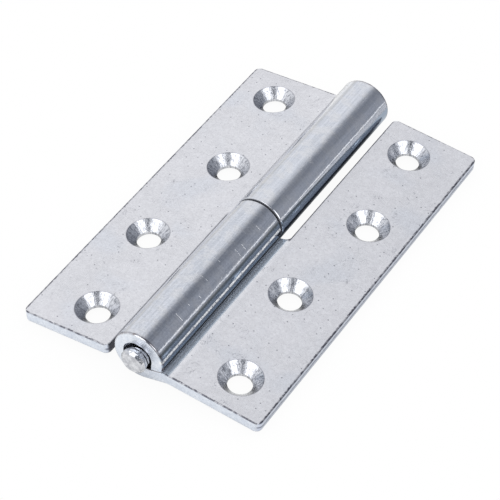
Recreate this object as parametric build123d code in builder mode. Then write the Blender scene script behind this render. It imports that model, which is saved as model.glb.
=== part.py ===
"""A lift-off hinge: two pressed steel leaves and the pin that the door leaf lifts off.

Both leaves are the same pressing. Over one half of its length the sheet dips under the pin, wraps
round it and lands back on the leaf's own top face. Over the other half it is cut back, to leave room
for the other leaf's knuckle. The door leaf is the frame leaf turned half round about the vertical.

Frame: the hinge lies open on a table, screw heads up. The origin is on the table under the pin's axis,
halfway along the hinge with the pin's foot counted in. +Y runs along the pin in the direction the door
leaf lifts, +X points to the frame leaf and +Z up. The knuckles hang lower than the leaves, so each leaf
slopes down to its outer edge.
"""
from build123d import *
import os
from math import acos, asin, atan2, cos, degrees, hypot, radians, sin, tan

os.makedirs("parts", exist_ok=True)

# Driving sizes in millimetres
LEAF_LENGTH = 100.0
LEAF_REACH = 31.5
SHEET = 3.0
PIN_DIAMETER = 6.7
PIN_CLEARANCE = 0.06
PLATE_DROP = 1.1
BEND_INSIDE = 2.0
NECK_LANDING = 1.1
SEAM_GAP = 0.3
KNUCKLE_GAP = 0.4
CUT_CLEARANCE = 2.0
OUTER_CORNER = 1.5
NOTCH_CORNER = 1.4
UNDERSIDE_ROUND = 0.5
TOPSIDE_ROUND = 0.2

# Screw holes in two rows, each row with one hole near an end of the leaf and one near the middle
OUTER_ROW_INSET = 10.4
ROW_STEP = 3.7
END_HOLE_INSET = 9.0
OUTER_MIDDLE_HOLE = 15.0
INNER_MIDDLE_HOLE = 14.0
SCREW_HOLE = 5.8
SINK_DIAMETER = 10.3
SINK_ANGLE = 90.0

# The mouth of the bore is sprung open on the side away from the leaf
MOUTH_DIAMETER = 7.0
MOUTH_SHIFT = 0.4
MOUTH_RISE = 0.1
MOUTH_DEPTH = 2.5

# The pin stands out of the frame leaf's knuckle on a thinner foot and stops short inside the door leaf's
PIN_STICK_OUT = 2.5
PIN_FOOT_DIAMETER = 6.3
PIN_FOOT_LENGTH = 5.5
PIN_CHAMFER = 0.65
PIN_STOPS_SHORT = 3.0
PIN_NOSE = 1.6

# Two radii this close are the same one
SAME_RADIUS = 0.001

# What follows from them
bore_radius = PIN_DIAMETER / 2 + PIN_CLEARANCE
knuckle_radius = bore_radius + SHEET
plate_bottom = PLATE_DROP + SHEET
cut_back = knuckle_radius + CUT_CLEARANCE
knuckle_end = -KNUCKLE_GAP / 2
half_length = LEAF_LENGTH / 2
pin_height = knuckle_radius

# The foot of the pin makes the whole hinge longer than its leaves, so their middle is not at the origin
leaf_middle = PIN_STICK_OUT / 2

# The leaf rests on its rounded outer edge while the knuckle touches the table
edge_reach = LEAF_REACH - UNDERSIDE_ROUND
edge_depth = plate_bottom - UNDERSIDE_ROUND
edge_drop = knuckle_radius - UNDERSIDE_ROUND
droop = degrees(asin(edge_drop / hypot(edge_reach, edge_depth)) - atan2(edge_depth, edge_reach))

# The neck is the straight slope between the underside of the pin and the plate. It leaves the bore
# tangentially and comes level with the plate a little outside the curl.
landing = knuckle_radius + NECK_LANDING
to_landing = hypot(landing, PLATE_DROP)
neck_angle = 90 - degrees(acos(bore_radius / to_landing) + atan2(PLATE_DROP, landing))
neck_slope = tan(radians(neck_angle))
curl_sweep = 270 + neck_angle

leaf_across = (cos(radians(droop)), 0, -sin(radians(droop)))
leaf_normal = (sin(radians(droop)), 0, cos(radians(droop)))
leaf_plane = Plane(origin=(0, leaf_middle, pin_height), x_dir=leaf_across, z_dir=leaf_normal)
far_end = leaf_middle + half_length
section_plane = Plane(origin=(0, far_end, pin_height), x_dir=leaf_across, z_dir=(0, -1, 0))
near_end = leaf_middle - half_length
mouth_plane = Plane(origin=(0, near_end, pin_height), x_dir=leaf_across, z_dir=(0, -1, 0))
pin_axis = Axis((0, 0, pin_height), (0, 1, 0))


def neck_top(across):
    """Height of the neck's upper face above the pin axis, seen along the pin."""
    return -bore_radius / cos(radians(neck_angle)) + across * neck_slope


def neck_bottom_across(height):
    """Distance from the pin axis at which the neck's lower face has the given height."""
    return (height + knuckle_radius / cos(radians(neck_angle))) / neck_slope


def round_rims(builder, radius):
    """The arcs of the given radius where the knuckle's wall meets its two end faces."""
    arcs = builder.edges().filter_by(GeomType.CIRCLE)
    return arcs.filter_by(lambda arc: abs(arc.radius - radius) < SAME_RADIUS)


# Frame leaf: one section along the pin, trimmed to one outline from above
with BuildPart() as frame_leaf:
    bend_top = (landing, -PLATE_DROP)
    bend_bottom = (neck_bottom_across(-plate_bottom), -plate_bottom)
    with BuildSketch(section_plane) as section:
        with BuildLine():
            wall_outside = CenterArc((0, 0), knuckle_radius, 0, curl_sweep)
            Line(wall_outside @ 1, bend_bottom)
            Line(bend_bottom, (LEAF_REACH, -plate_bottom))
            Line((LEAF_REACH, -plate_bottom), (LEAF_REACH, -PLATE_DROP))
            Line((LEAF_REACH, -PLATE_DROP), bend_top)
            wall_inside = CenterArc((0, 0), bore_radius, 0, curl_sweep)
            Line(bend_top, wall_inside @ 1)
            lip_inside = (bore_radius, neck_top(bore_radius) + SEAM_GAP)
            lip_outside = (knuckle_radius, neck_top(knuckle_radius) + SEAM_GAP)
            Line(wall_inside @ 0, lip_inside)
            Line(lip_inside, lip_outside)
            Line(lip_outside, wall_outside @ 0)
        make_face()
        fillet(section.vertices().sort_by_distance(bend_top)[0], BEND_INSIDE + SHEET)
        fillet(section.vertices().sort_by_distance(bend_bottom)[0], BEND_INSIDE)
    extrude(amount=LEAF_LENGTH)

    behind_knuckle = -knuckle_radius - SHEET
    with BuildSketch(leaf_plane):
        with BuildLine():
            outline = FilletPolyline(
                (behind_knuckle, -half_length),
                (LEAF_REACH, -half_length),
                (LEAF_REACH, half_length),
                (cut_back, half_length),
                (cut_back, knuckle_end),
                (behind_knuckle, knuckle_end),
                radius=[OUTER_CORNER, OUTER_CORNER, OUTER_CORNER, NOTCH_CORNER],
            )
            Line(outline @ 1, outline @ 0)
        make_face()
    extrude(amount=2 * knuckle_radius, both=True, mode=Mode.INTERSECT)

    # Each rim of the knuckle runs on along the leaf's whole edge, so one rounding takes in all of it
    fillet(round_rims(frame_leaf, knuckle_radius), UNDERSIDE_ROUND)
    fillet(round_rims(frame_leaf, bore_radius), TOPSIDE_ROUND)

    with BuildSketch(mouth_plane):
        with Locations((-MOUTH_SHIFT, MOUTH_RISE)):
            Circle(MOUTH_DIAMETER / 2)
    extrude(amount=-MOUTH_DEPTH, mode=Mode.SUBTRACT)

    outer_row = LEAF_REACH - OUTER_ROW_INSET
    inner_row = outer_row - ROW_STEP
    end_hole = half_length - END_HOLE_INSET
    screw_places = [
        (outer_row, -end_hole),
        (inner_row, -INNER_MIDDLE_HOLE),
        (outer_row, OUTER_MIDDLE_HOLE),
        (inner_row, end_hole),
    ]
    with Locations(leaf_plane.offset(-PLATE_DROP)):
        with Locations(screw_places):
            CounterSinkHole(SCREW_HOLE / 2, SINK_DIAMETER / 2, SHEET, SINK_ANGLE)

frame_leaf.part.label = "frame_leaf"

# Door leaf: the same pressing turned half round about the vertical through the leaves' middle
with BuildPart() as door_leaf:
    with Locations((0, 2 * leaf_middle)):
        add(frame_leaf.part, rotation=(0, 0, 180))
door_leaf.part.label = "door_leaf"

# Pin: a bar with a thinner, chamfered foot and a rounded nose that the door leaf is lowered over
pin_foot = near_end - PIN_STICK_OUT
pin_shoulder = pin_foot + PIN_FOOT_LENGTH
pin_tip = far_end - PIN_STOPS_SHORT
with BuildPart() as pin:
    with BuildSketch(Plane.XY.offset(pin_height)) as half_section:
        with Locations((0, pin_foot)):
            Rectangle(PIN_FOOT_DIAMETER / 2, PIN_FOOT_LENGTH, align=(Align.MIN, Align.MIN))
        with Locations((0, pin_shoulder)):
            Rectangle(PIN_DIAMETER / 2, pin_tip - pin_shoulder, align=(Align.MIN, Align.MIN))
        chamfer(half_section.vertices().group_by(Axis.Y)[0].sort_by(Axis.X)[-1], PIN_CHAMFER)
        fillet(half_section.vertices().group_by(Axis.Y)[-1].sort_by(Axis.X)[-1], PIN_NOSE)
    revolve(axis=pin_axis)
pin.part.label = "pin"

export_step(frame_leaf.part, "parts/frame_leaf.step")
export_step(door_leaf.part, "parts/door_leaf.step")
export_step(pin.part, "parts/pin.step")
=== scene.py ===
import bpy
import math
from mathutils import Matrix, Vector

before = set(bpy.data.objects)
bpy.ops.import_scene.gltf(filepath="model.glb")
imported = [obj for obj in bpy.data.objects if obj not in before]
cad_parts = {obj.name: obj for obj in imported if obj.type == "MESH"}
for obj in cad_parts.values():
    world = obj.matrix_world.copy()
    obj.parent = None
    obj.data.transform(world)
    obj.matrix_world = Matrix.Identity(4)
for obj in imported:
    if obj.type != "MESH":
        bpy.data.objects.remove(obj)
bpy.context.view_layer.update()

# Where the hinge lies in the frame, in metres and radians
MM = 0.001
PIN_HEIGHT = 6.41 * MM
LEAF_MIDDLE = 1.25 * MM
LEAF_DROOP = math.radians(4.292)

# Sizes in millimetres, counted from the pin's axis and from the middle of the leaves
HALF_LENGTH = 50.0
LEAF_REACH = 31.5
PLATE_TOP = -1.1
CUT_BACK = 8.41
KNUCKLE_RADIUS = 6.41
HOLES = [(21.1, -41.0), (17.4, -14.0), (21.1, 15.0), (17.4, 41.0)]
SINK_RADIUS = 5.15
FRACTURE_DEPTH = 1.5
PIN_FACE = -52.0
PIN_FOOT = -50.5

# Marks on the knuckles: a height in millimetres, then angles in degrees above the pin's level
RIDGE_HEIGHT = 1.80
RIDGE_LEAN = 24.0
# Top of the painted shade on the knuckle's low side
LOW_SIDE_TOP = 34.0
FLAT_TOP = 22.7

# The lower limit of the flat: distance along the leaf and angle, by the joint and at the far end
FLAT_BY_JOINT = (-5.0, 20.0)
FLAT_FAR_END = (-48.0, 9.0)

# Scratches round each knuckle: distance along the leaf, first and last angle, half width
FRAME_SCRATCHES = [
    (-39.3, 62, 44, 0.14), (-27.0, 77, 60, 0.08), (-20.8, 83, 66, 0.08), (-15.5, 60, 44, 0.09),
    (-13.2, 57, 43, 0.08), (-6.4, 60, 48, 0.08), (-31.5, 52, 47, 0.10), (-35.2, 57, 53, 0.10),
]
DOOR_SCRATCHES = [(-6.0, 62, 50, 0.07), (-22.5, 75, 66, 0.07), (-34.0, 62, 55, 0.08)]

# Colours of the plated sheet
SHEET_DULL = (0.87, 0.865, 0.885)
SHEET_BRIGHT = (0.925, 0.92, 0.94)
BLUE_CLOUD = (0.76, 0.81, 0.89, 1)
GREY_CLOUD = (0.55, 0.54, 0.56, 1)
GRAIN_DARK = (0.47, 0.47, 0.50, 1)
SPECK_DARK = (0.16, 0.16, 0.19, 1)
DUST_DARK = (0.24, 0.24, 0.27, 1)
HAIR_DARK = (0.20, 0.20, 0.24, 1)
# Painted reflection: a flat bluish tone beside the seam, for the curl that the plate mirrors there
NECK_PAINTED_REFLECTION = (0.66, 0.78, 0.90, 1)

# Colours of the knuckle
STREAK_LIGHT = (0.81, 0.83, 0.885, 1)
STREAK_DARK = (0.66, 0.685, 0.735, 1)
PATCH = (0.82, 0.82, 0.835, 1)
DIE_MARK_DARK = (0.34, 0.37, 0.42, 1)
CURL_GRAIN_DARK = (0.36, 0.38, 0.43, 1)
# Painted shade on the knuckle's low side, for the dark it mirrors
LOW_SIDE_PAINTED_SHADE = (0.20, 0.27, 0.36, 1)
# Painted shadow under the lip
UNDER_LIP_PAINTED_SHADOW = (0.012, 0.014, 0.018, 1)
RIM_BROWN = (0.33, 0.28, 0.25, 1)
RIM_DARK = (0.17, 0.15, 0.17, 1)
# Painted shade in the joint between the knuckles
JOINT_PAINTED_SHADE = (0.05, 0.05, 0.06, 1)
# White of the burnished scratches, and of the lip's ridge as a painted highlight in dots
BURNISHED_AND_PAINTED_GLINT = (1.0, 1.0, 1.0, 1)

# Colours of the cut faces, the countersinks and the pin
END_DULL = (0.80, 0.85, 0.93, 1)
END_BRIGHT = (0.90, 0.94, 1.0, 1)
END_GRAIN_DARK = (0.52, 0.56, 0.64, 1)
SIDE_DULL = (0.62, 0.68, 0.81, 1)
SIDE_BRIGHT = (0.75, 0.81, 0.93, 1)
FRACTURE_DARK = (0.16, 0.17, 0.22, 1)
# Painted shade on the side of each leaf that faces the slot
SLOT_FACE_PAINTED_SHADE = (0.12, 0.12, 0.15, 1)
SINK_DARK = (0.31, 0.32, 0.35, 1)
SINK_LIGHT = (0.78, 0.79, 0.82, 1)
SINK_RIM_DARK = (0.22, 0.22, 0.26, 1)
BURR_DARK = (0.07, 0.07, 0.10, 1)
PIN_DULL = (0.48, 0.49, 0.52, 1)
PIN_BRIGHT = (0.76, 0.77, 0.80, 1)
PIN_GRAIN_DARK = (0.42, 0.43, 0.46, 1)


class Nodes:
    """Adds nodes to one tree and wires them. A value is a number, a vector, a colour or a socket."""

    def __init__(self, tree):
        self.tree = tree
        tree.nodes.clear()

    def add(self, kind, **values):
        node = self.tree.nodes.new(kind)
        for name, value in values.items():
            setattr(node, name, value)
        return node

    def wire(self, source, target):
        self.tree.links.new(source, target)

    def feed(self, socket, value):
        if isinstance(value, bpy.types.NodeSocket):
            self.wire(value, socket)
        else:
            socket.default_value = value

    def math(self, operation, a, b=None, clamp=False):
        node = self.add("ShaderNodeMath", operation=operation, use_clamp=clamp)
        self.feed(node.inputs[0], a)
        if b is not None:
            self.feed(node.inputs[1], b)
        return node.outputs[0]

    def chain(self, operation, values):
        result = values[0]
        for value in values[1:]:
            result = self.math(operation, result, value)
        return result

    def plus(self, *values):
        return self.chain("ADD", values)

    def times(self, *values):
        return self.chain("MULTIPLY", values)

    def largest(self, *values):
        return self.chain("MAXIMUM", values)

    def minus(self, a, b):
        return self.math("SUBTRACT", a, b)

    def size(self, value):
        return self.math("ABSOLUTE", value)

    def outside(self, mask):
        """The mask turned over: 1 where it is 0."""
        return self.minus(1.0, mask)

    def swing(self, noise, amount):
        """Noise about zero instead of about a half, times the amount."""
        return self.times(self.minus(noise, 0.5), amount)

    def reach(self, a, b):
        """Length of the diagonal of a and b."""
        return self.math("SQRT", self.plus(self.math("POWER", a, 2.0), self.math("POWER", b, 2.0)))

    def vector(self, operation, a, b=None):
        node = self.add("ShaderNodeVectorMath", operation=operation)
        self.feed(node.inputs[0], a)
        if b is not None:
            self.feed(node.inputs[1], b)
        return node.outputs["Value"] if operation in ("DOT_PRODUCT", "LENGTH") else node.outputs[0]

    def scale(self, vector, factor):
        node = self.add("ShaderNodeVectorMath", operation="SCALE")
        self.feed(node.inputs[0], vector)
        self.feed(node.inputs["Scale"], factor)
        return node.outputs[0]

    def rotate(self, vector, axis, angle):
        node = self.add("ShaderNodeVectorRotate", rotation_type=axis)
        self.wire(vector, node.inputs["Vector"])
        self.feed(node.inputs["Angle"], angle)
        return node.outputs[0]

    def combine(self, x, y, z):
        node = self.add("ShaderNodeCombineXYZ")
        for socket, value in zip(node.inputs, (x, y, z)):
            self.feed(socket, value)
        return node.outputs[0]

    def separate(self, vector):
        node = self.add("ShaderNodeSeparateXYZ")
        self.wire(vector, node.inputs[0])
        return node.outputs

    def step(self, value, low, high, to_low=0.0, to_high=1.0, smooth=True):
        """Goes from to_low to to_high while the value goes from low to high, in either direction."""
        node = self.add("ShaderNodeMapRange", clamp=True)
        if smooth:
            node.interpolation_type = "SMOOTHSTEP"
        self.feed(node.inputs["Value"], value)
        node.inputs["From Min"].default_value = low
        node.inputs["From Max"].default_value = high
        node.inputs["To Min"].default_value = to_low
        node.inputs["To Max"].default_value = to_high
        return node.outputs["Result"]

    def noise(self, vector, scale, detail, roughness):
        node = self.add("ShaderNodeTexNoise")
        self.wire(vector, node.inputs["Vector"])
        node.inputs["Scale"].default_value = scale
        node.inputs["Detail"].default_value = detail
        node.inputs["Roughness"].default_value = roughness
        return node.outputs["Fac"]

    def scatter(self, vector, scale, dot_edge, share):
        """Dots in a flat scatter: the limits of a dot's edge, and of the random value that keeps a dot."""
        node = self.add("ShaderNodeTexVoronoi", voronoi_dimensions="2D", feature="F1")
        self.wire(vector, node.inputs["Vector"])
        node.inputs["Scale"].default_value = scale
        kept = self.separate(node.outputs["Color"])[0]
        return self.times(self.step(node.outputs["Distance"], *dot_edge), self.step(kept, *share))

    def blend(self, factor, a, b, kind="RGBA"):
        node = self.add("ShaderNodeMix", data_type=kind)
        self.feed(node.inputs["Factor"], factor)
        self.feed(node.inputs["A"], a)
        self.feed(node.inputs["B"], b)
        return node.outputs["Result"]

    def paint(self, colour, *layers):
        """Lays each colour over the ones before it where its mask says so."""
        for mask, layer in layers:
            colour = self.blend(mask, colour, layer)
        return colour

    def mix_shaders(self, factor, a, b):
        node = self.add("ShaderNodeMixShader")
        self.wire(factor, node.inputs["Fac"])
        self.wire(a.outputs[0], node.inputs[1])
        self.wire(b.outputs[0], node.inputs[2])
        return node

    def show(self, shader, kind="ShaderNodeOutputMaterial"):
        output = self.add(kind)
        self.wire(shader.outputs[0], output.inputs["Surface"])

    def metal(self, colour, metallic, rough, relief, strength, depth, normal=None):
        """The finished surface, with its relief as a bump of the given depth in metres."""
        bump = self.add("ShaderNodeBump")
        bump.inputs["Strength"].default_value = strength
        bump.inputs["Distance"].default_value = depth
        self.wire(relief, bump.inputs["Height"])
        if normal is not None:
            self.wire(normal, bump.inputs["Normal"])
        shader = self.add("ShaderNodeBsdfPrincipled")
        self.feed(shader.inputs["Metallic"], metallic)
        self.wire(colour, shader.inputs["Base Color"])
        self.wire(rough, shader.inputs["Roughness"])
        self.wire(bump.outputs[0], shader.inputs["Normal"])
        self.show(shader)


def new_material(name):
    material = bpy.data.materials.new(name)
    material.use_nodes = True
    return material, Nodes(material.node_tree)


def hinge_place(t):
    """Place in millimetres from the pin's axis and the middle of the leaves."""
    place = t.add("ShaderNodeTexCoord").outputs["Object"]
    return t.scale(t.vector("SUBTRACT", place, (0.0, LEAF_MIDDLE, PIN_HEIGHT)), 1 / MM)


class LeafSurface:
    """Zinc on one leaf: where each mark lies, then the colour, the gloss and the relief made of them.

    Across and above are counted from the pin's axis and along from the leaf's middle, in the leaf's own
    frame. A mark is a mask, 1 where it lies and 0 elsewhere. out_of_round is the lean of the knuckle's
    wall in degrees, 0 for a round one, and dark_side is the side on which the knuckle looks darkest.
    """

    def __init__(self, t, turned, scratches, tone, dark_side, out_of_round, slot_burr):
        self.t = t
        self.tone = tone
        self.out_of_round = out_of_round
        self.slot_burr = slot_burr
        facing = t.rotate(hinge_place(t), "Z_AXIS", math.pi if turned else 0.0)
        self.place = t.rotate(facing, "Y_AXIS", -LEAF_DROOP)
        self.across, self.along, self.above = t.separate(self.place)
        self.right_across = t.times(self.across, dark_side)
        normal = t.separate(t.add("ShaderNodeTexCoord").outputs["Normal"])
        self.normal_y = normal[1]
        self.normal_z = normal[2]
        self.find_patterns()
        self.find_curl()
        self.find_cut_faces()
        self.find_countersinks()
        self.find_burrs()
        self.find_lip()
        self.find_rims()
        self.worn = t.largest(*[self.scratch(*values) for values in scratches])

    def find_patterns(self):
        """Grain, clouds and specks of the sheet, streaks along the knuckle and die marks round it."""
        t = self.t
        place = self.place
        self.grain = t.noise(place, 1.9, 5.0, 0.70)
        self.mottle = t.noise(place, 0.75, 3.0, 0.60)
        self.cloud = t.noise(place, 0.10, 3.0, 0.55)
        self.tint = t.noise(place, 0.07, 2.0, 0.5)
        self.specks = t.scatter(place, 0.42, (0.085, 0.045), (0.72, 0.80))
        self.dust = t.scatter(place, 1.15, (0.15, 0.07), (0.80, 0.86))
        hair_line = t.step(t.size(t.minus(t.noise(place, 0.45, 2.0, 0.5), 0.5)), 0.010, 0.003)
        self.hairs = t.times(hair_line, t.step(t.noise(place, 0.23, 1.0, 0.5), 0.58, 0.66))
        self.streaks = t.noise(t.vector("MULTIPLY", place, (2.2, 0.06, 2.2)), 1.0, 3.0, 0.55)
        self.die_marks = t.noise(t.vector("MULTIPLY", place, (0.55, 2.3, 0.55)), 1.0, 4.0, 0.65)
        self.patches = t.noise(place, 0.33, 4.0, 0.65)
        self.waves = t.noise(place, 0.42, 3.0, 0.6)
        self.dashes = t.step(t.noise(place, 0.7, 3.0, 0.65), 0.38, 0.60)
        self.ragged = t.swing(t.noise(place, 1.2, 5.0, 0.75), 0.9)

    def dashed(self, mark, faintest):
        """The mark in dashes, with what is left of it between them."""
        return self.t.times(mark, self.t.step(self.dashes, 0.0, 1.0, faintest, 1.0))

    def find_curl(self):
        """The rolled wall, the painted shade on its low side and, out of round, the flat along that side."""
        t = self.t
        on_wall = t.step(t.reach(self.across, self.above), KNUCKLE_RADIUS + 0.12, KNUCKLE_RADIUS + 0.05)
        over_plate = t.step(self.above, PLATE_TOP - 0.2, PLATE_TOP + 0.4)
        behind_axis = t.step(self.across, 0.4, -0.4)
        self.curl = t.times(on_wall, t.largest(over_plate, behind_axis))
        self.on_plate = t.outside(self.curl)
        round_angle = t.math("ARCTAN2", self.above, self.right_across)
        low_top = math.radians(LOW_SIDE_TOP)
        if self.out_of_round:
            near, far = FLAT_BY_JOINT, FLAT_FAR_END
            low_top = t.step(self.along, near[0], far[0], math.radians(near[1]), math.radians(far[1]),
                             smooth=False)
        over_low_top = t.minus(round_angle, low_top)
        two_degrees = math.radians(2.0)
        # Painted shade on the low side, for the dark it mirrors
        self.low_side_shade = t.times(t.step(self.right_across, 4.0, 4.4),
                                t.step(over_low_top, two_degrees, -two_degrees))
        if self.out_of_round:
            one_degree = math.radians(1.0)
            self.on_flat = t.times(t.step(over_low_top, 0.0, one_degree),
                                   t.step(self.right_across, -1.0, 1.0))
            self.below_top = t.largest(t.minus(math.radians(FLAT_TOP), round_angle), 0.0)
            self.smooth = t.times(self.on_flat, self.curl, t.step(self.below_top, 0.0, one_degree))

    def find_cut_faces(self):
        """The end faces, the sheared sides with their fracture line, and the side that faces the slot, with
        painted shade on it.
        """
        t = self.t
        self.end_face = t.step(t.size(self.normal_y), 0.75, 0.95)
        self.off_end = t.outside(self.end_face)
        self.side_face = t.times(t.step(t.size(self.normal_z), 0.45, 0.25), self.on_plate, self.off_end)
        height = t.plus(self.above, t.swing(self.mottle, 1.0))
        off_line = t.size(t.minus(height, PLATE_TOP - FRACTURE_DEPTH))
        self.fracture = t.times(t.step(off_line, 0.36, 0.14), self.side_face)
        # Painted shade on the side that faces the slot
        self.cut_face = t.times(self.side_face, t.step(self.across, CUT_BACK + 0.4, CUT_BACK + 0.1))

    def find_countersinks(self):
        """Each countersink with its turned rings, the chatter round it and its rim."""
        t = self.t
        masks, rings, chatters, rims = [], [], [], []
        for hole_across, hole_along in HOLES:
            off_across = t.minus(self.across, hole_across)
            off_along = t.minus(self.along, hole_along)
            radius = t.reach(off_across, off_along)
            inside = t.step(radius, SINK_RADIUS + 0.05, SINK_RADIUS - 0.03)
            angle = t.math("ARCTAN2", off_along, off_across)
            round_place = t.combine(t.times(t.math("COSINE", angle), 4.2),
                                    t.times(t.math("SINE", angle), 4.2),
                                    t.plus(t.times(radius, 0.55), hole_along))
            masks.append(inside)
            rings.append(t.times(t.math("SINE", t.times(radius, 22.0)), inside))
            chatters.append(t.times(t.noise(round_place, 2.4, 4.0, 0.72), inside))
            rims.append(t.step(t.size(t.minus(radius, SINK_RADIUS)), 0.16, 0.05))
        self.rings = t.plus(*rings)
        self.chatter = t.plus(*chatters)
        sunk = t.step(self.above, PLATE_TOP - 0.03, PLATE_TOP - 0.08)
        not_underside = t.step(self.normal_z, -0.7, -0.4)
        self.sinks = t.math("MULTIPLY", t.times(t.plus(*masks), sunk), not_underside, clamp=True)
        self.sink_rims = t.times(t.largest(*rims), t.step(self.above, PLATE_TOP - 0.30, PLATE_TOP - 0.1))

    def find_burrs(self):
        """Dark, ragged burr lines where the top face meets the cut edges."""
        t = self.t
        to_end = t.minus(HALF_LENGTH, t.size(self.along))
        to_side = t.minus(t.minus(LEAF_REACH, self.across), 0.14)
        to_edge = t.plus(t.math("MINIMUM", to_end, to_side), self.ragged)
        at_top = t.step(self.above, PLATE_TOP - 0.40, PLATE_TOP - 0.08)
        off_curl = t.step(self.across, KNUCKLE_RADIUS, KNUCKLE_RADIUS + 0.6)
        outer = t.times(t.step(to_edge, 0.40, 0.16), at_top, off_curl)
        slot = t.times(t.step(t.minus(self.across, CUT_BACK), 0.40, 0.20), t.step(self.along, -0.6, 0.2),
                       at_top, off_curl)
        self.burr = t.largest(self.dashed(outer, 0.50), t.times(self.dashed(slot, 0.65), self.slot_burr))

    def find_lip(self):
        """The lip's burnished, dotted ridge with a painted highlight, the painted shadow under it and the
        painted reflection beside the seam.
        """
        t = self.t
        on_lip = t.times(self.curl, t.step(self.across, 5.2, 5.8))
        off_ridge = t.plus(t.minus(self.above, RIDGE_HEIGHT), t.swing(self.mottle, 0.25))
        dots = t.step(t.noise(self.place, 1.3, 3.0, 0.7), 0.34, 0.50)
        # The burnished ridge is painted white in dots, as a painted highlight
        self.ridge = t.times(t.step(t.size(off_ridge), 0.44, 0.28), on_lip,
                             t.step(dots, 0.0, 1.0, 0.40, 1.0))
        # Painted shadow under the lip
        self.under_lip_shadow = t.times(t.step(self.above, 0.25, -0.15), on_lip)
        beside = t.times(t.step(self.across, 9.4, 8.6), t.step(self.across, 5.9, 6.3), self.on_plate)
        self.by_seam = t.times(beside, t.step(self.along, 0.6, -0.2), t.step(self.normal_z, 0.2, 0.5))
        # Painted reflection beside the seam, where the plate mirrors the curl
        self.neck_reflection = t.times(self.by_seam, t.step(self.across, 8.25, 7.95))

    def find_rims(self):
        """A dark, dashed line and brown specks on the knuckle's two rims, and painted shade in the joint."""
        t = self.t
        wall = t.times(self.curl, self.off_end)
        to_rim = t.math("MINIMUM", t.plus(HALF_LENGTH, self.along), t.minus(HALF_LENGTH, self.along))
        specks = t.step(t.noise(self.place, 1.1, 4.0, 0.7), 0.53, 0.62)
        self.brown = t.times(wall, t.step(to_rim, 1.6, 0.3), specks)
        off_line = t.plus(t.minus(to_rim, 0.42), t.times(self.ragged, 0.5))
        self.rim_line = self.dashed(t.times(t.step(t.size(off_line), 0.26, 0.12), wall), 0.45)
        # Painted shade in the joint between the knuckles
        self.joint = t.times(self.curl, t.step(t.size(self.along), 0.42, 0.26))
        # Painted shade under the lip and in the joint, also rough and not metal
        self.painted_shade = t.largest(self.under_lip_shadow, self.joint)

    def scratch(self, along, start, end, half_width):
        """A short scratch round the knuckle."""
        t = self.t
        ends = []
        for angle in (start, end):
            turn = math.radians(angle) + LEAF_DROOP
            ends.append(Vector((KNUCKLE_RADIUS * math.cos(turn), along, KNUCKLE_RADIUS * math.sin(turn))))
        run = ends[1] - ends[0]
        from_start = t.vector("SUBTRACT", self.place, tuple(ends[0]))
        along_run = t.vector("DOT_PRODUCT", from_start, tuple(run))
        share = t.math("DIVIDE", along_run, run.length_squared, clamp=True)
        off = t.vector("LENGTH", t.vector("SUBTRACT", from_start, t.scale(tuple(run), share)))
        return t.step(off, half_width, 0.4 * half_width)

    def curl_colour(self):
        t = self.t
        grain_strength = 0.15 if self.out_of_round else 0.30
        return t.paint(
            t.blend(t.step(self.streaks, 0.34, 0.66), STREAK_LIGHT, STREAK_DARK),
            (t.step(self.patches, 0.42, 0.60, 0.0, 0.75), PATCH),
            (t.step(self.die_marks, 0.34, 0.62, 0.14, 0.0), DIE_MARK_DARK),
            (t.step(self.grain, 0.34, 0.62, grain_strength, 0.0), CURL_GRAIN_DARK),
            # Painted shade on the low side
            (t.times(self.low_side_shade, 0.80), LOW_SIDE_PAINTED_SHADE),
            # Painted shadow under the lip
            (self.under_lip_shadow, UNDER_LIP_PAINTED_SHADOW),
        )

    def colour(self):
        t = self.t
        dull = tuple(self.tone * value for value in SHEET_DULL) + (1,)
        bright = tuple(self.tone * value for value in SHEET_BRIGHT) + (1,)
        cut_mottle = t.step(self.mottle, 0.35, 0.65)
        end_colour = t.paint(
            t.blend(cut_mottle, END_DULL, END_BRIGHT),
            (t.step(self.grain, 0.34, 0.60, 0.35, 0.0), END_GRAIN_DARK),
        )
        return t.paint(
            t.blend(t.step(self.cloud, 0.3, 0.7), dull, bright),
            (t.step(self.tint, 0.50, 0.68, 0.0, 0.32), BLUE_CLOUD),
            (t.step(self.mottle, 0.36, 0.66, 0.17, 0.0), GREY_CLOUD),
            (t.step(self.grain, 0.32, 0.62, 0.36, 0.0, smooth=False), GRAIN_DARK),
            (t.times(self.specks, 0.75), SPECK_DARK),
            (t.times(self.dust, 0.32), DUST_DARK),
            (t.times(self.hairs, 0.40), HAIR_DARK),
            # Painted reflection beside the seam
            (t.times(self.neck_reflection, 0.6), NECK_PAINTED_REFLECTION),
            (self.curl, self.curl_colour()),
            (t.times(self.end_face, 0.95), end_colour),
            (t.times(self.side_face, 0.9), t.blend(cut_mottle, SIDE_DULL, SIDE_BRIGHT)),
            (t.times(self.fracture, 0.75), FRACTURE_DARK),
            # Painted shade on the side that faces the slot
            (t.times(self.cut_face, 0.85), SLOT_FACE_PAINTED_SHADE),
            (t.times(self.sinks, 0.95), t.blend(t.step(self.chatter, 0.36, 0.56), SINK_DARK, SINK_LIGHT)),
            (t.times(self.sink_rims, 0.50), SINK_RIM_DARK),
            (t.times(self.burr, 0.92), BURR_DARK),
            (t.times(self.brown, 0.55), RIM_BROWN),
            (t.times(self.rim_line, 0.78), RIM_DARK),
            # Painted shade in the joint between the knuckles
            (t.times(self.joint, 0.92), JOINT_PAINTED_SHADE),
            # Burnished scratches, and the ridge painted white as a painted highlight
            (t.largest(self.worn, self.ridge), BURNISHED_AND_PAINTED_GLINT),
        )

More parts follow.
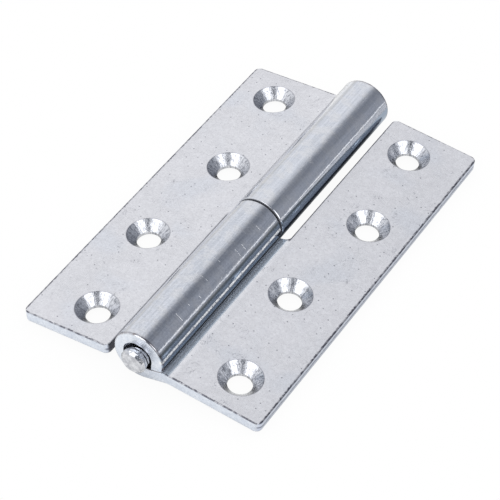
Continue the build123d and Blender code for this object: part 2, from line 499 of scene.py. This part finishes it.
    def rough(self):
        """Satin sheet, glossy knuckle and countersinks, duller ends, scratches, and rough where shade is
        painted under the lip and in the joint.
        """
        t = self.t
        sheet = t.plus(0.30, t.swing(self.grain, 0.24), t.swing(self.cloud, 0.10))
        sheet = t.minus(sheet, t.times(self.by_seam, 0.13))
        wall = t.plus(0.115, t.swing(self.die_marks, 0.08))
        rough = t.plus(t.times(sheet, self.on_plate), t.times(wall, self.curl), t.times(self.end_face, 0.28))
        sink = t.plus(0.18, t.times(self.chatter, 0.12))
        rough = t.plus(t.times(rough, t.outside(self.sinks)), t.times(sink, self.sinks))
        rough = t.plus(rough, t.times(self.worn, 0.35), t.times(self.ridge, 0.06))
        return t.math("ADD", rough, t.times(self.painted_shade, 0.7), clamp=True)

    def metallic(self):
        """The painted shade under the lip and in the joint isn't metal, and the painted reflection in the
        neck is half metal.
        """
        t = self.t
        return t.minus(t.outside(self.painted_shade), t.times(self.neck_reflection, 0.54))

    def relief(self):
        t = self.t
        relief = t.times(self.grain, t.step(t.plus(self.curl, self.sinks), 0.0, 1.0, 0.40, 0.16))
        relief = t.minus(relief, t.times(t.plus(self.specks, self.hairs), 0.5))
        relief = t.plus(
            relief,
            t.times(self.streaks, self.curl, 0.30),
            t.times(self.die_marks, self.curl, 0.06),
            t.times(self.waves, self.curl, 2.0),
            t.times(self.rings, 0.12),
            t.times(self.chatter, 2.1),
        )
        relief = t.minus(relief, self.worn)
        if self.out_of_round:
            relief = t.times(relief, t.outside(t.times(self.smooth, 0.8)))
        return relief

    def normal(self):
        """The ridge leans out of the wall; out of round, the whole wall leans and has a flat."""
        t = self.t
        lean = t.times(self.ridge, math.radians(RIDGE_LEAN))
        if self.out_of_round:
            lean = t.plus(t.times(self.below_top, self.on_flat), math.radians(self.out_of_round))
        lean = t.times(lean, self.curl, self.off_end)
        normal = t.add("ShaderNodeNewGeometry").outputs["Normal"]
        return t.rotate(normal, "Y_AXIS", t.times(lean, -1.0))


def leaf_material(name, **looks):
    """Bright zinc on pressed sheet: grain, pits, burr lines, turned countersinks and a burnished curl."""
    material, t = new_material(name)
    leaf = LeafSurface(t, **looks)
    t.metal(leaf.colour(), leaf.metallic(), leaf.rough(), leaf.relief(),
            strength=0.35, depth=0.00006, normal=leaf.normal())
    return material


def pin_material(name):
    """Drawn bar: fine lines along it, a dented foot and turned rings on its face."""
    material, t = new_material(name)
    place = hinge_place(t)
    across, along, above = t.separate(place)
    drawn = t.noise(t.vector("MULTIPLY", place, (5.0, 0.3, 5.0)), 1.0, 3.0, 0.6)
    grain = t.noise(place, 4.5, 4.0, 0.6)
    cloud = t.noise(place, 0.8, 3.0, 0.6)
    on_face = t.step(along, PIN_FACE, PIN_FACE - 0.3)
    on_foot = t.step(along, PIN_FOOT, PIN_FOOT - 0.7)
    rings = t.times(t.math("SINE", t.times(t.reach(across, above), 20.0)), on_face)
    dents = t.times(t.noise(place, 0.60, 2.0, 0.55), on_foot)
    colour = t.paint(
        t.blend(t.step(cloud, 0.35, 0.65), PIN_DULL, PIN_BRIGHT),
        (t.step(grain, 0.35, 0.6, 0.25, 0.0), PIN_GRAIN_DARK),
    )
    rough = t.plus(0.09, t.times(grain, 0.08))
    relief = t.plus(t.times(drawn, 0.25), t.times(cloud, 0.5), t.times(dents, 8.0), t.times(rings, 0.10))
    t.metal(colour, 1.0, rough, relief, strength=0.5, depth=0.0001)
    return material


def give(node, material):
    """Put the material into every slot of a CAD node's object."""
    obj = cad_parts[node]
    if not obj.material_slots:
        obj.data.materials.append(material)
    for slot in obj.material_slots:
        slot.material = material


give("frame_leaf", leaf_material("zinc_frame_leaf", turned=False, scratches=FRAME_SCRATCHES, tone=1.055,
                                 dark_side=1.0, out_of_round=0.0, slot_burr=1.0))
give("door_leaf", leaf_material("zinc_door_leaf", turned=True, scratches=DOOR_SCRATCHES, tone=0.975,
                                dark_side=-1.0, out_of_round=8.0, slot_burr=0.3))
give("pin", pin_material("zinc_pin"))

# Floor: a large sheet just under the hinge
FLOOR_HALF = 4.0
FLOOR_DROP = 0.00002
floor_mesh = bpy.data.meshes.new("floor")
corners = [(-FLOOR_HALF, -FLOOR_HALF, 0), (FLOOR_HALF, -FLOOR_HALF, 0),
           (FLOOR_HALF, FLOOR_HALF, 0), (-FLOOR_HALF, FLOOR_HALF, 0)]
floor_mesh.from_pydata(corners, [], [(0, 1, 2, 3)])
floor = bpy.data.objects.new("floor", floor_mesh)
bpy.context.scene.collection.objects.link(floor)
floor.location = (0, 0, -FLOOR_DROP)

# It glows white to the eye, barely dimmed where the hinge shades it. What metal mirrors of it is darker
# close to the hinge and out to the right and left. All other light meets a plain pale floor.
SHADE_REACH = 0.012
FLOOR_PALE = (0.85, 0.85, 0.85, 1)
floor_material, t = new_material("floor_white")
rays = t.add("ShaderNodeLightPath")
shade = t.add("ShaderNodeAmbientOcclusion", samples=8)
shade.inputs["Distance"].default_value = SHADE_REACH
floor_x = t.separate(t.add("ShaderNodeTexCoord").outputs["Object"])[0]
to_eye = t.step(shade.outputs["AO"], 0.0, 1.0, 0.95, 1.0, smooth=False)
near_hinge = t.step(shade.outputs["AO"], 0.10, 0.75, 0.06, 1.0, smooth=False)
to_right = t.step(floor_x, 0.028, 0.046, 1.0, 0.24)
to_left = t.step(floor_x, -0.034, -0.050, 1.0, 0.78)
to_metal = t.times(near_hinge, to_right, to_left)
glow = t.add("ShaderNodeEmission")
t.wire(t.blend(rays.outputs["Is Camera Ray"], to_metal, to_eye, kind="FLOAT"), glow.inputs["Strength"])
plain = t.add("ShaderNodeBsdfDiffuse")
plain.inputs["Color"].default_value = FLOOR_PALE
seen = t.largest(rays.outputs["Is Camera Ray"], rays.outputs["Is Glossy Ray"],
                 rays.outputs["Is Transmission Ray"])
t.show(t.mix_shaders(seen, plain, glow))
floor_mesh.materials.append(floor_material)


def grey(level, blue):
    """A grey of the level, with its blue raised by the share."""
    return (level, level * (1 + 0.3 * blue), level * (1 + blue), 1.0)


def lobe(t, direction, centre, inner, outer):
    """A round patch of the world: full within the inner angle of its centre and gone at the outer one."""
    nearness = t.vector("DOT_PRODUCT", direction, tuple(Vector(centre).normalized()))
    return t.step(nearness, math.cos(math.radians(outer)), math.cos(math.radians(inner)))


# Studio: a broad pale left side, a dimmer right and back, a low bright strip at the right, two bright
# lobes at the front and a dark patch at the camera's side. The eye sees it as plain white.
LEFT_LIGHT = grey(0.89, 0.05)
RIGHT_DIM = grey(0.25, 0.22)
FAR_RIGHT_DIM = grey(0.34, 0.20)
STRIP_LIGHT = grey(1.2, 0.03)
LOBE_LIGHT = grey(2.2, 0.03)
CAMERA_DARK = grey(0.18, 0.2)
world = bpy.data.worlds.new("studio")
bpy.context.scene.world = world
world.use_nodes = True
t = Nodes(world.node_tree)
direction = t.add("ShaderNodeTexCoord").outputs["Generated"]
toward_x, toward_y, toward_z = t.separate(direction)
lifted = t.plus(toward_z, t.times(toward_y, 0.1))
left = t.times(t.step(toward_x, 0.18, -0.32), t.step(lifted, -0.10, 0.20, 0.80, 1.0))
strip = t.times(t.step(toward_z, 0.085, 0.115), t.step(toward_z, 0.18, 0.15), t.step(toward_x, 0.35, 0.6))
sky = t.paint(
    t.blend(t.step(toward_x, 0.30, 0.62), RIGHT_DIM, FAR_RIGHT_DIM),
    (left, LEFT_LIGHT),
    (strip, STRIP_LIGHT),
    (lobe(t, direction, (0.74, -0.22, 0.64), 17, 24), LOBE_LIGHT),
    (lobe(t, direction, (-0.25, -0.72, 0.62), 17, 24), LOBE_LIGHT),
    (t.times(lobe(t, direction, (0.363, -0.600, 0.7125), 8, 15), 0.85), CAMERA_DARK),
)
background = t.add("ShaderNodeBackground")
t.wire(sky, background.inputs["Color"])
clear = t.add("ShaderNodeBackground")
clear.inputs["Color"].default_value = (1, 1, 1, 1)
rays = t.add("ShaderNodeLightPath")
t.show(t.mix_shaders(rays.outputs["Is Camera Ray"], background, clear), "ShaderNodeOutputWorld")

# Camera at the photograph's place
azimuth = math.radians(31.161)
elevation = math.radians(45.436)
roll = math.radians(1.234)
distance = 0.50011
shift_right = -0.001886
shift_up = -0.00673
forward = Vector((-math.sin(azimuth) * math.cos(elevation), math.cos(azimuth) * math.cos(elevation),
                  -math.sin(elevation)))
level_right = Vector((math.cos(azimuth), math.sin(azimuth), 0))
level_up = level_right.cross(forward)
target = level_right * shift_right + level_up * shift_up + Vector((0, LEAF_MIDDLE, PIN_HEIGHT))
eye = target - forward * distance
right = level_right * math.cos(roll) + level_up * math.sin(roll)
up = level_up * math.cos(roll) - level_right * math.sin(roll)
turn = Matrix((right, up, -forward)).transposed()
camera_data = bpy.data.cameras.new("camera")
camera_data.sensor_width = 36.0
camera_data.lens = 154.83
camera_data.clip_start = 0.01
camera_data.clip_end = 20.0
camera = bpy.data.objects.new("camera", camera_data)
camera.matrix_world = Matrix.Translation(eye) @ turn.to_4x4()
bpy.context.scene.collection.objects.link(camera)
bpy.context.scene.camera = camera

bpy.context.scene.view_settings.view_transform = "Standard"
